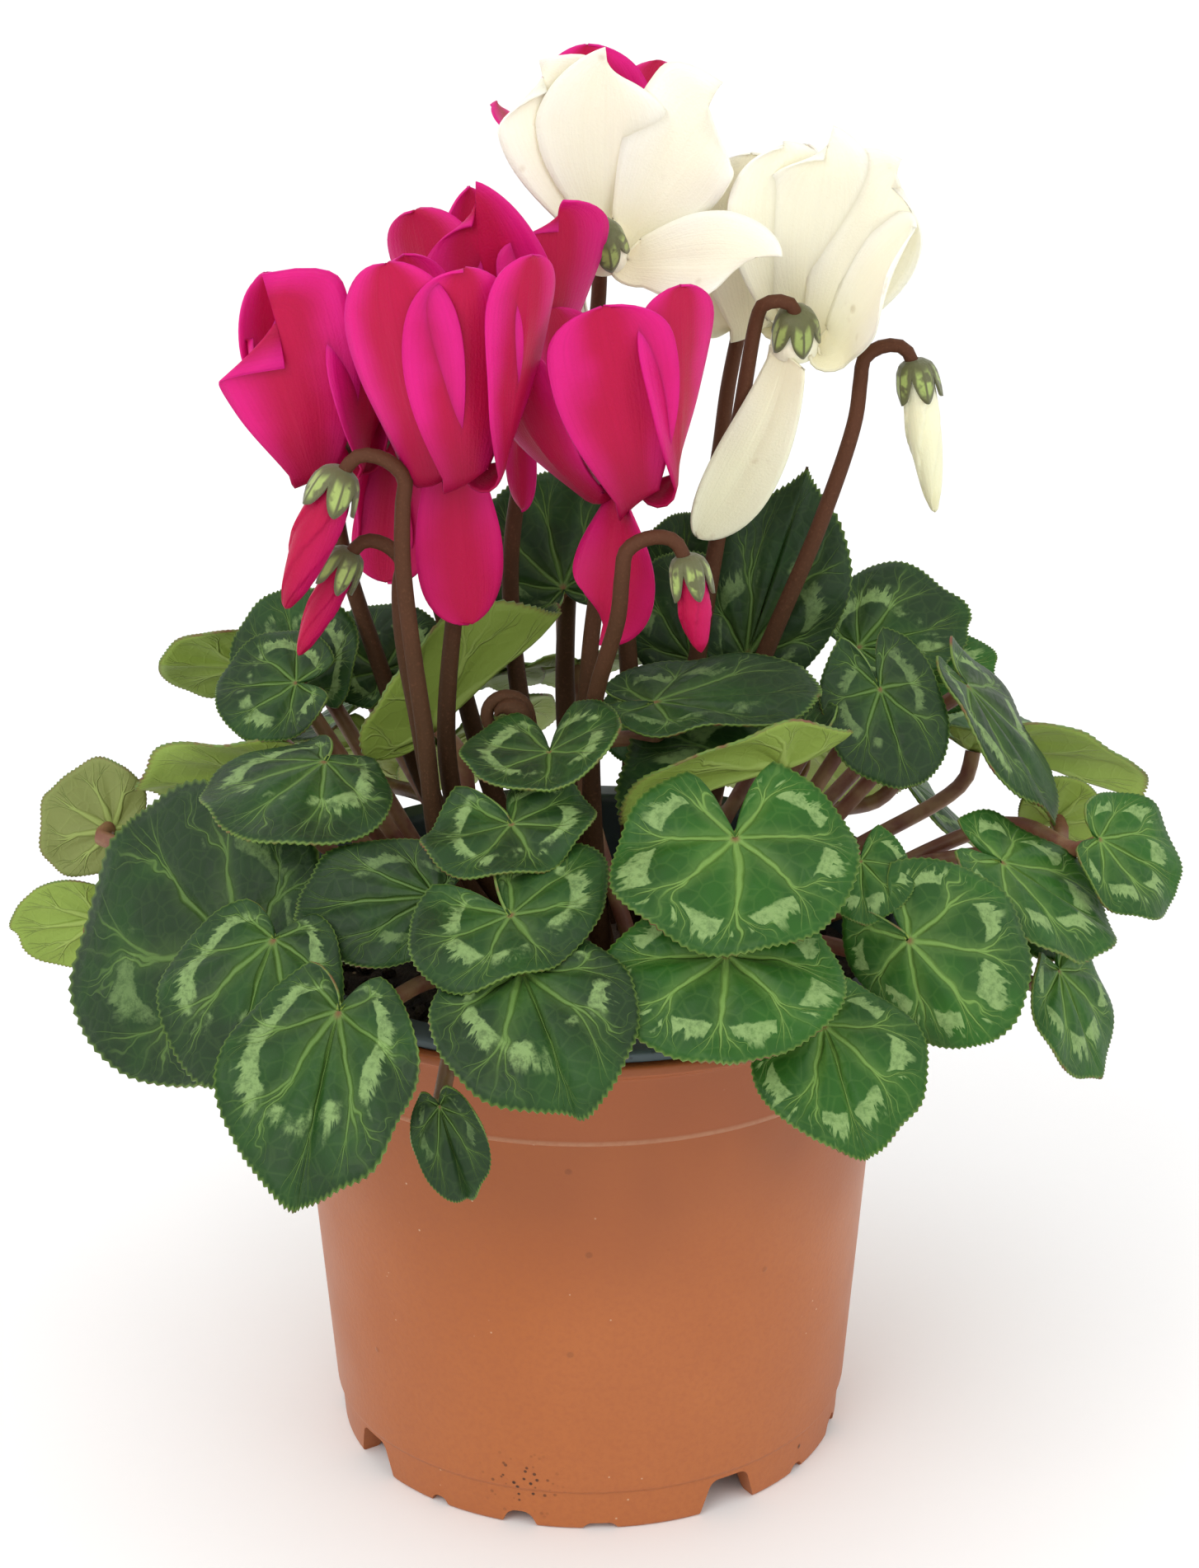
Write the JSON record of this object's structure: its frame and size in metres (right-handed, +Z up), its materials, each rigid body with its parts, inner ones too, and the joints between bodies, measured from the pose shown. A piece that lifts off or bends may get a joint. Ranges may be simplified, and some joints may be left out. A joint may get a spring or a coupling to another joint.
{
  "type": "potted cyclamen",
  "caption": "Flowering pot plant: heart-shaped variegated leaves and swept-back blooms on bare stalks, in a tapered plastic pot with an inner liner.",
  "frame": {"origin": "on the pot's axis, at the level that the foot ring stands on", "axes": "+Z up along the pot's axis; -Y is the front that the picture shows, +X is to the right of someone who looks at the front"},
  "size_m": [0.2363, 0.2049, 0.2817],
  "materials": {
    "pot": "satin",
    "liner": "satin",
    "soil": "matte",
    "stalk": "matte",
    "leaf": "satin",
    "petal_magenta": "matte",
    "petal_white": "matte"
  },
  "bodies": {
    "root": {"pot": "pot", "pot_liner": "liner", "soil": "soil", "corm_with_stalks": "stalk", "bloom_magenta_1": "petal_magenta", "bloom_magenta_2": "petal_magenta", "bloom_magenta_3": "petal_magenta", "bloom_magenta_4": "petal_magenta", "bloom_magenta_5": "petal_magenta", "bloom_magenta_6": "petal_magenta", "bloom_white_1": "petal_white", "bloom_white_2": "petal_white", "bloom_white_3": "petal_white", "bud_magenta_1": "petal_magenta", "bud_magenta_2": "petal_magenta", "bud_magenta_3": "petal_magenta", "bud_white_1": "petal_white", "leaf_left_1": "leaf", "leaf_left_2": "leaf", "leaf_left_3": "leaf", "leaf_left_4": "leaf", "leaf_front_1": "leaf", "leaf_front_2": "leaf", "leaf_front_3": "leaf", "leaf_front_4": "leaf", "leaf_front_5": "leaf", "leaf_front_6": "leaf", "leaf_front_7": "leaf", "leaf_front_young": "leaf", "leaf_right_1": "leaf", "leaf_right_2": "leaf", "leaf_right_3": "leaf", "leaf_right_4": "leaf", "leaf_right_5": "leaf", "leaf_right_6": "leaf", "leaf_right_7": "leaf", "leaf_right_8": "leaf", "leaf_right_9": "leaf", "leaf_middle_1": "leaf", "leaf_middle_2": "leaf", "leaf_middle_3": "leaf", "leaf_middle_4": "leaf", "leaf_middle_5": "leaf", "leaf_middle_6": "leaf", "leaf_upright_1": "leaf", "leaf_upright_2": "leaf", "leaf_upright_3": "leaf", "leaf_left_5": "leaf", "leaf_left_6": "leaf", "leaf_left_7": "leaf", "leaf_left_8": "leaf", "leaf_left_9": "leaf", "leaf_left_10": "leaf", "leaf_left_11": "leaf", "leaf_upright_4": "leaf", "leaf_middle_7": "leaf", "leaf_right_10": "leaf", "leaves_back_left": "leaf", "leaves_back_right": "leaf", "leaves_back_middle": "leaf"}
  },
  "joints": []
}
